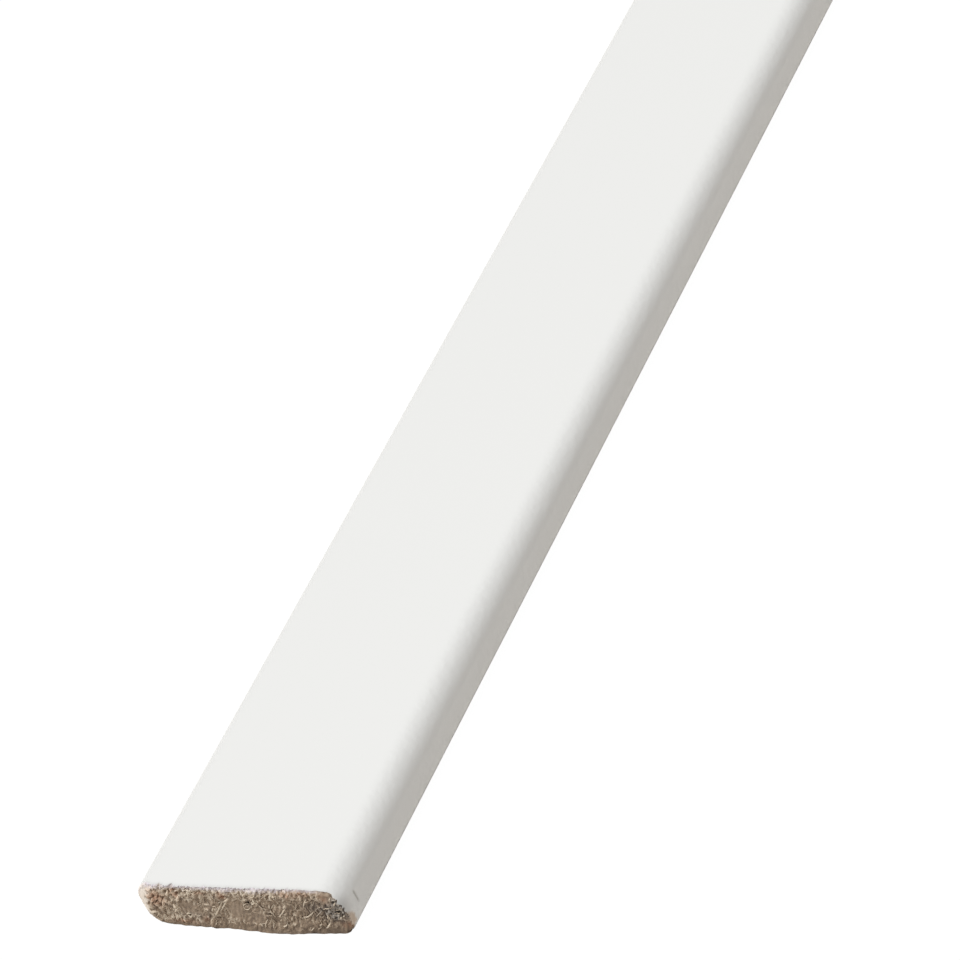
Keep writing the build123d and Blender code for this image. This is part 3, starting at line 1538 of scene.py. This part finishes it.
    def add_skin(self, parts: MeshParts, rows: np.ndarray, coats: np.ndarray) -> None:
        """Adds the long skin between the stitched loop and the far end.

        Args:
            parts: Arrays of the board's mesh.
            rows: Vertex numbers of the two loops, one row each.
            coats: Finish of each step round the loops.
        """
        u = np.linspace(0.0, 1.0, len(rows))[:, None]
        v = np.linspace(0.0, 1.0, rows.shape[1] + 1)
        parts.add_faces(quads(closed(rows)), coats, quads(self.skin_area.place(u, v)))

    @staticmethod
    def sharpen(mesh: bpy.types.Mesh, rims: np.ndarray) -> None:
        """Marks the edges along the two cut outlines as sharp, so that the ends shade apart from the skin.

        Args:
            mesh: The board's mesh.
            rims: Vertex numbers on the two outlines.
        """
        on_rim = np.zeros(len(mesh.vertices), dtype=bool)
        on_rim[rims] = True
        ends = np.empty(2 * len(mesh.edges), dtype=np.int32)
        mesh.edges.foreach_get("vertices", ends)
        sharp = on_rim[ends.reshape(-1, 2)].all(axis=1)
        mesh.attributes.new("sharp_edge", "BOOLEAN", "EDGE").data.foreach_set("value", sharp)


@dataclass
class LooseFibres:
    """Fibres that the saw pulled loose: thin tubes that arch off the torn end, rooted in it."""

    section: Section
    torn: TornEnd
    near_y: float
    # Fibres at random: how many are tried, their sizes, and where none of them lies
    count: int = 420
    length: float = 0.8
    upright: float = 0.6
    radius: float = 0.04
    radius_spread: float = 0.3
    arch: float = 0.09
    arch_spread: float = 0.5
    loose_share: float = 0.25
    loose_lift: tuple[float, float] = (0.1, 0.3)
    tone_shape: tuple[float, float] = (2.4, 1.5)
    margin: float = 0.45
    calm_share: float = 0.6
    most_calm: float = 0.3
    seed: int = 41
    # All tubes: their steps, roots and tips, and their place in a cell of the bake map
    rings: int = 10
    sides: int = 6
    root: float = 0.05
    tip_share: float = 0.12
    tip_power: float = 0.6
    strip_start: float = 0.1
    strip_end: float = 0.9
    cap_place: float = 0.05
    cap_radius: float = 0.04
    # Strands that are drawn one by one, and how far they arch
    drawn_arch: float = 0.14
    strands: tuple[Strand, ...] = (
        Strand(-0.9, 4.6, -1.9, 4.0, 0.10, 0.95, 0.10),
        Strand(-1.7, 4.3, -4.5, 1.2, 0.06, 0.90),
        Strand(-1.2, 4.3, -2.8, 2.6, 0.00, 0.95, 0.08),
        Strand(4.1, 5.2, 3.85, 4.2, 0.05, 0.95, 0.11),
        Strand(4.45, 5.1, 4.4, 4.5, 0.05, 0.85),
        Strand(3.4, 3.9, 3.15, 1.75, -0.05, 0.92, 0.07),
        Strand(5.45, 3.75, 3.4, 1.85, 0.03, 0.88, 0.065),
        Strand(2.3, 1.8, 1.4, 0.5, -0.05, 0.80),
        Strand(2.75, 1.6, 2.5, 0.7, 0.05, 0.75, 0.06),
        Strand(8.3, 4.95, 7.0, 3.2, -0.10, 0.85),
        Strand(8.2, 3.1, 6.4, 2.05, 0.10, 0.90),
        Strand(9.5, 1.75, 8.4, 0.7, 0.05, 0.95, 0.08),
        Strand(8.5, 1.7, 7.8, 1.0, 0.05, 0.85),
        Strand(7.2, 0.85, 6.4, 0.5, 0.05, 0.85, 0.06),
        Strand(4.3, 1.2, 3.6, 0.85, 0.05, 0.95, 0.08),
        Strand(9.4, 3.3, 10.9, 3.9, 0.25, 0.75, 0.05),
        Strand(10.4, 3.4, 11.8, 3.6, 0.05, 0.75, 0.05),
        Strand(10.4, 2.9, 11.4, 3.1, 0.05, 0.70, 0.05),
        Strand(9.5, 2.9, 9.2, 1.9, 0.25, 0.80, 0.06),
        Strand(2.1, 4.25, 2.2, 2.7, 0.40, 0.05),
        Strand(1.55, 4.2, 1.9, 4.0, -0.15, 1.00, 0.08),
        Strand(1.85, 4.6, 2.0, 4.05, 0.12, 1.00, 0.08),
        Strand(0.15, 3.3, 0.95, 3.35, 0.33, 0.85, 0.06),
        Strand(0.15, 3.3, 0.95, 3.35, -0.33, 0.85, 0.06),
        Strand(-7.25, 1.75, -6.65, 1.8, 0.28, 1.00, 0.08),
        Strand(-7.25, 1.75, -6.65, 1.8, -0.28, 1.00, 0.08),
        Strand(-7.8, 5.25, -8.3, 4.4, 0.05, 1.00, 0.12),
        Strand(-8.9, 4.1, -9.4, 3.1, 0.05, 0.95, 0.11),
        Strand(-6.8, 4.6, -7.4, 3.8, 0.05, 1.00, 0.15),
        Strand(-8.1, 3.3, -7.8, 2.7, 0.05, 0.95, 0.13),
        Strand(10.9, 2.3, 11.1, 2.5, 0.02, 1.00, 0.09),
        Strand(11.3, 2.5, 11.5, 2.75, 0.02, 1.00, 0.07),
        Strand(10.8, 4.7, 11.0, 5.1, 0.02, 0.85, 0.08),
        Strand(11.15, 4.25, 11.3, 4.5, 0.02, 0.80, 0.07),
        Strand(9.35, 2.1, 9.5, 2.5, 0.02, 0.95, 0.07),
    )

    def drawn_paths(self) -> np.ndarray:
        """Centre lines of the long strands: straight between the tips, with a bow of half a sine wave.

        Returns:
            Points (x, z), indexed by strand and ring.
        """
        run = np.linspace(0.0, 1.0, self.rings)[:, None]
        first = np.array([[(strand.x0, strand.z0)] for strand in self.strands])
        last = np.array([[(strand.x1, strand.z1)] for strand in self.strands])
        bow = np.array([strand.bow for strand in self.strands])[:, None, None]
        aside = (last - first)[..., ::-1] * (-1.0, 1.0)
        aside /= np.linalg.norm(aside, axis=-1, keepdims=True)
        return first + (last - first) * run + bow * aside * np.sin(math.pi * run)

    def random_paths(self, rng: np.random.Generator) -> np.ndarray:
        """Centre lines of the fibres at random that keep clear of the outline and of calm or soaked places.

        Args:
            rng: Source of the paths.

        Returns:
            Points (x, z), indexed by fibre and ring.
        """
        paths = strand_paths(rng, self.section, self.count, self.rings, self.length, self.upright)
        x, z = paths[..., 0], paths[..., 1]
        marks = self.torn.marks(x, z)
        still = np.maximum(marks[Mark.SOAK], self.calm_share * marks[Mark.CALM])
        inside = (self.section.inset(x, z) > self.margin).all(axis=1)
        return paths[inside & (still.max(axis=1) < self.most_calm)]

    def build(self, material: bpy.types.Material) -> bpy.types.Object:
        """Builds the tubes: a ring of points carried along each arched path, closed at both tips.

        The path stands off the end by an arch, a sine over the fibre's length, less the root that sinks
        its tips into the core. The ring's radius thins towards the tips.

        Args:
            material: Finish of the fibres.

        Returns:
            The fibres' object.
        """
        rng = np.random.default_rng(self.seed)
        paths = np.concatenate([self.random_paths(rng), self.drawn_paths()])
        x, z = paths[..., 0], paths[..., 1]
        count = len(x)
        radius = self.radius * np.exp(rng.normal(0.0, self.radius_spread, count))
        # The fibres take the end's darkening to the right: partly painted light from the left.
        tone = rng.beta(*self.tone_shape, count) + self.torn.lean_light * x.mean(axis=1)
        tone = np.clip(tone, 0.0, 1.0)
        arch = self.arch * np.exp(rng.normal(0.0, self.arch_spread, count))
        is_loose = rng.uniform(size=count) < self.loose_share
        loose_tip = np.where(is_loose, rng.uniform(*self.loose_lift, count), 0.0)
        drawn = slice(count - len(self.strands), count)
        radius[drawn] = [strand.radius for strand in self.strands]
        tone[drawn] = [strand.tone for strand in self.strands]
        arch[drawn] = self.drawn_arch
        loose_tip[drawn] = 0.0
        run = np.linspace(0.0, 1.0, self.rings)
        wave = np.sin(math.pi * run)
        lift = arch[:, None] * wave + loose_tip[:, None] * run - self.root
        path = np.stack([x, self.near_y - self.torn.out(x, z) - lift, z], axis=-1)

        parts = MeshParts()
        thin = at_least(self.tip_share, wave**self.tip_power)
        numbers = parts.add_points(self.tubes(path, radius[:, None] * thin) * MM)
        self.add_faces(parts, numbers)
        marks = self.torn.marks(x, z)
        marks[Mark.SHADE][drawn] = 0.0
        attributes = {mark.value: np.repeat(marks[mark].ravel(), self.sides) for mark in COLOUR_MARKS}
        attributes[TONE] = np.repeat(tone, self.rings * self.sides)
        return parts.build("torn_fibres", attributes, [material])

    def tubes(self, path: np.ndarray, radius: np.ndarray) -> np.ndarray:
        """Carries a ring along each path: P = path + radius (cos a across + sin a over).

        "Across" is square to the path and level with the end, and "over" is square to both.

        Args:
            path: Points (x, y, z), indexed by fibre and ring.
            radius: Radius of each ring.

        Returns:
            Points (x, y, z), indexed by fibre, ring and side.
        """
        tangent = np.gradient(path, axis=1)
        tangent /= np.linalg.norm(tangent, axis=-1, keepdims=True)
        across = np.cross(tangent, (0.0, -1.0, 0.0))
        across /= np.linalg.norm(across, axis=-1, keepdims=True)
        over = np.cross(across, tangent)
        angle = np.arange(self.sides) * TAU / self.sides
        ring = np.cos(angle)[:, None] * across[:, :, None, :] + np.sin(angle)[:, None] * over[:, :, None, :]
        return path[:, :, None, :] + ring * radius[..., None, None]

    def add_faces(self, parts: MeshParts, numbers: np.ndarray) -> None:
        """Adds the tubes' sides and their two caps, each tube in its own cell of the bake map.

        Args:
            parts: Arrays of the fibres' mesh.
            numbers: Vertex numbers, by fibre, ring and side.
        """
        count = len(numbers)
        per_row = math.ceil(math.sqrt(count))
        cell = 1.0 / per_row
        low_left = np.stack([np.arange(count) % per_row, np.arange(count) // per_row], axis=-1) * cell
        u = np.linspace(self.strip_start, self.strip_end, self.sides + 1) * cell
        v = np.linspace(self.strip_start, self.strip_end, self.rings)[:, None] * cell
        strip = np.stack(np.broadcast_arrays(u, v), axis=-1)
        corners = quads(np.moveaxis(closed(numbers), 0, 2)).transpose(2, 0, 1)
        places = low_left[:, None, None] + quads(strip)
        parts.add_faces(corners.reshape(-1, 4), 0, places.reshape(-1, 4, 2))
        angle = np.arange(self.sides) * TAU / self.sides
        disc = self.cap_place + self.cap_radius * np.stack([np.cos(angle), np.sin(angle)], axis=-1)
        cap = low_left[:, None] + disc * cell
        parts.add_faces(numbers[:, 0], 0, cap)
        parts.add_faces(numbers[:, -1, ::-1], 0, cap)


@dataclass
class Studio:
    """Matt white floor, one soft overhead key, a dim even fill and the camera of the photograph."""

    near_y: float
    face_z: float
    floor_half_size: float = 60.0
    floor_colour: str = "#EFEBE6"
    floor_white: float = 1.04
    floor_shadow: float = 0.05
    key_strength: float = 3.66
    key_tilt_left: float = 8.0
    key_tilt_near: float = 10.0
    key_spread: float = 30.0
    fill: float = 0.10
    aim_across: float = 3.54
    aim_along: float = 54.74
    distance: float = 450.92
    azimuth: float = 41.765
    elevation: float = 35.787
    roll: float = -28.585
    focal: float = 166.875
    sensor: float = 36.0
    clip_near: float = 0.01
    clip_far: float = 500.0

    def build(self) -> None:
        """Builds the floor, the lights, the world and the camera, in that order."""
        self.add_floor()
        self.add_key()
        self.add_world()
        self.add_camera()
        bpy.context.scene.view_settings.view_transform = "Standard"

    def add_floor(self) -> None:
        """It lights the board as matt white. The camera sees it washed out to plain white, as under a
        product shot, with a trace of its shadow.
        """
        half = self.floor_half_size
        side = np.array([[-half, -half, 0.0], [half, -half, 0.0], [half, half, 0.0], [-half, half, 0.0]])
        mesh = bpy.data.meshes.new("floor")
        mesh.from_pydata(side.tolist(), [], [(0, 1, 2, 3)])
        material, tree, shader = new_material("matt_white_floor")
        material.cycles.emission_sampling = "NONE"
        shader.inputs["Base Color"].default_value = to_linear(self.floor_colour)
        shader.inputs["Roughness"].default_value = 1.0
        shader.inputs["Specular IOR Level"].default_value = 0.0
        white = add_node(tree, "ShaderNodeEmission", values={"Strength": self.floor_white})
        path = add_node(tree, "ShaderNodeLightPath")
        washed = add_node(
            tree,
            "ShaderNodeMath",
            {"operation": "MULTIPLY"},
            {1: 1.0 - self.floor_shadow},
            {0: path.outputs["Is Camera Ray"]},
        )
        seen = add_node(
            tree,
            "ShaderNodeMixShader",
            links={0: washed.outputs["Value"], 1: shader.outputs["BSDF"], 2: white.outputs["Emission"]},
        )
        output = next(node for node in tree.nodes if node.type == "OUTPUT_MATERIAL")
        tree.links.new(seen.outputs["Shader"], output.inputs["Surface"])
        mesh.materials.append(material)
        floor = bpy.data.objects.new("floor", mesh)
        bpy.context.scene.collection.objects.link(floor)

    def add_key(self) -> None:
        """Hangs the key: a sun with a wide disc, like a large softbox, left and in front of overhead."""
        light = bpy.data.lights.new("soft_key", "SUN")
        light.energy = self.key_strength
        light.angle = math.radians(self.key_spread)
        key = bpy.data.objects.new("soft_key", light)
        left, near = math.tan(math.radians(self.key_tilt_left)), math.tan(math.radians(self.key_tilt_near))
        key.rotation_mode = "QUATERNION"
        key.rotation_quaternion = Vector((left, near, -1.0)).to_track_quat("-Z", "Y")
        bpy.context.scene.collection.objects.link(key)

    def add_world(self) -> None:
        """Fills from all round with a dim white, and shows plain white behind the floor's edge."""
        world = bpy.data.worlds.new("studio")
        world.use_nodes = True
        tree = world.node_tree
        tree.nodes.clear()
        path = add_node(tree, "ShaderNodeLightPath")
        strength = add_node(
            tree,
            "ShaderNodeMix",
            {"data_type": "FLOAT"},
            {NUMBER_A: self.fill, NUMBER_B: 1.0},
            {MIX_FACTOR: path.outputs["Is Camera Ray"]},
        )
        shine = add_node(
            tree,
            "ShaderNodeBackground",
            values={"Color": (1.0, 1.0, 1.0, 1.0)},
            links={"Strength": strength.outputs[MIXED_NUMBER]},
        )
        add_node(tree, "ShaderNodeOutputWorld", links={"Surface": shine.outputs["Background"]})
        bpy.context.scene.world = world

    def add_camera(self) -> None:
        """Sets the camera on a line from the aim on the face, by azimuth and elevation, then rolls it."""
        data = bpy.data.cameras.new("photo_view")
        data.sensor_width = self.sensor
        data.lens = self.focal
        data.clip_start = self.clip_near
        data.clip_end = self.clip_far
        turn, tilt = math.radians(self.azimuth), math.radians(self.elevation)
        back = Vector((math.sin(turn) * math.cos(tilt), -math.cos(turn) * math.cos(tilt), math.sin(tilt)))
        aim = Vector((self.aim_across, self.near_y + self.aim_along, self.face_z)) * MM
        camera = bpy.data.objects.new("photo_view", data)
        facing = (-back).to_track_quat("-Z", "Y").to_matrix()
        rolled = facing @ Matrix.Rotation(math.radians(self.roll), 3, "Z")
        camera.matrix_world = Matrix.LocRotScale(aim + back * self.distance * MM, rolled, None)
        bpy.context.scene.collection.objects.link(camera)
        bpy.context.scene.camera = camera


def main() -> None:
    """Builds the board, its loose fibres and the studio from the frame's box."""
    logging.basicConfig(level=logging.INFO, format="%(message)s")
    low, high = (np.array(corner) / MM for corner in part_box(NODE))
    section = Section(width=float(high[0] - low[0]), thickness=float(high[2] - low[2]))
    torn = TornEnd(section, FibreMat(section))
    torn_core = TornFibreFinish().material()
    back = BareBoardFinish("bare_pressed_fibreboard", spray_from_mm=10.2)
    sawn = BareBoardFinish("sawn_fibreboard", base="#B0967A", pale="#CDB99E", fleck_mm=(0.35, 1.0, 1.8))
    finishes = {
        Coat.LACQUER: LacquerFinish().material(),
        Coat.TORN_CORE: torn_core,
        Coat.BARE_BACK: back.material(),
        Coat.SAWN_CORE: sawn.material(),
    }
    board = Board(section, torn, float(low[1]), float(high[1]))
    fibres = LooseFibres(section, torn, float(low[1]))
    pieces = [board.build([finishes[coat] for coat in Coat]), fibres.build(torn_core)]
    for piece in pieces:
        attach(piece, BODY)
        log.info("%s: %d faces", piece.name, len(piece.data.polygons))
    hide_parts(NODE)
    Studio(near_y=float(low[1]), face_z=float(high[2])).build()


if __name__ == "__main__":
    main()
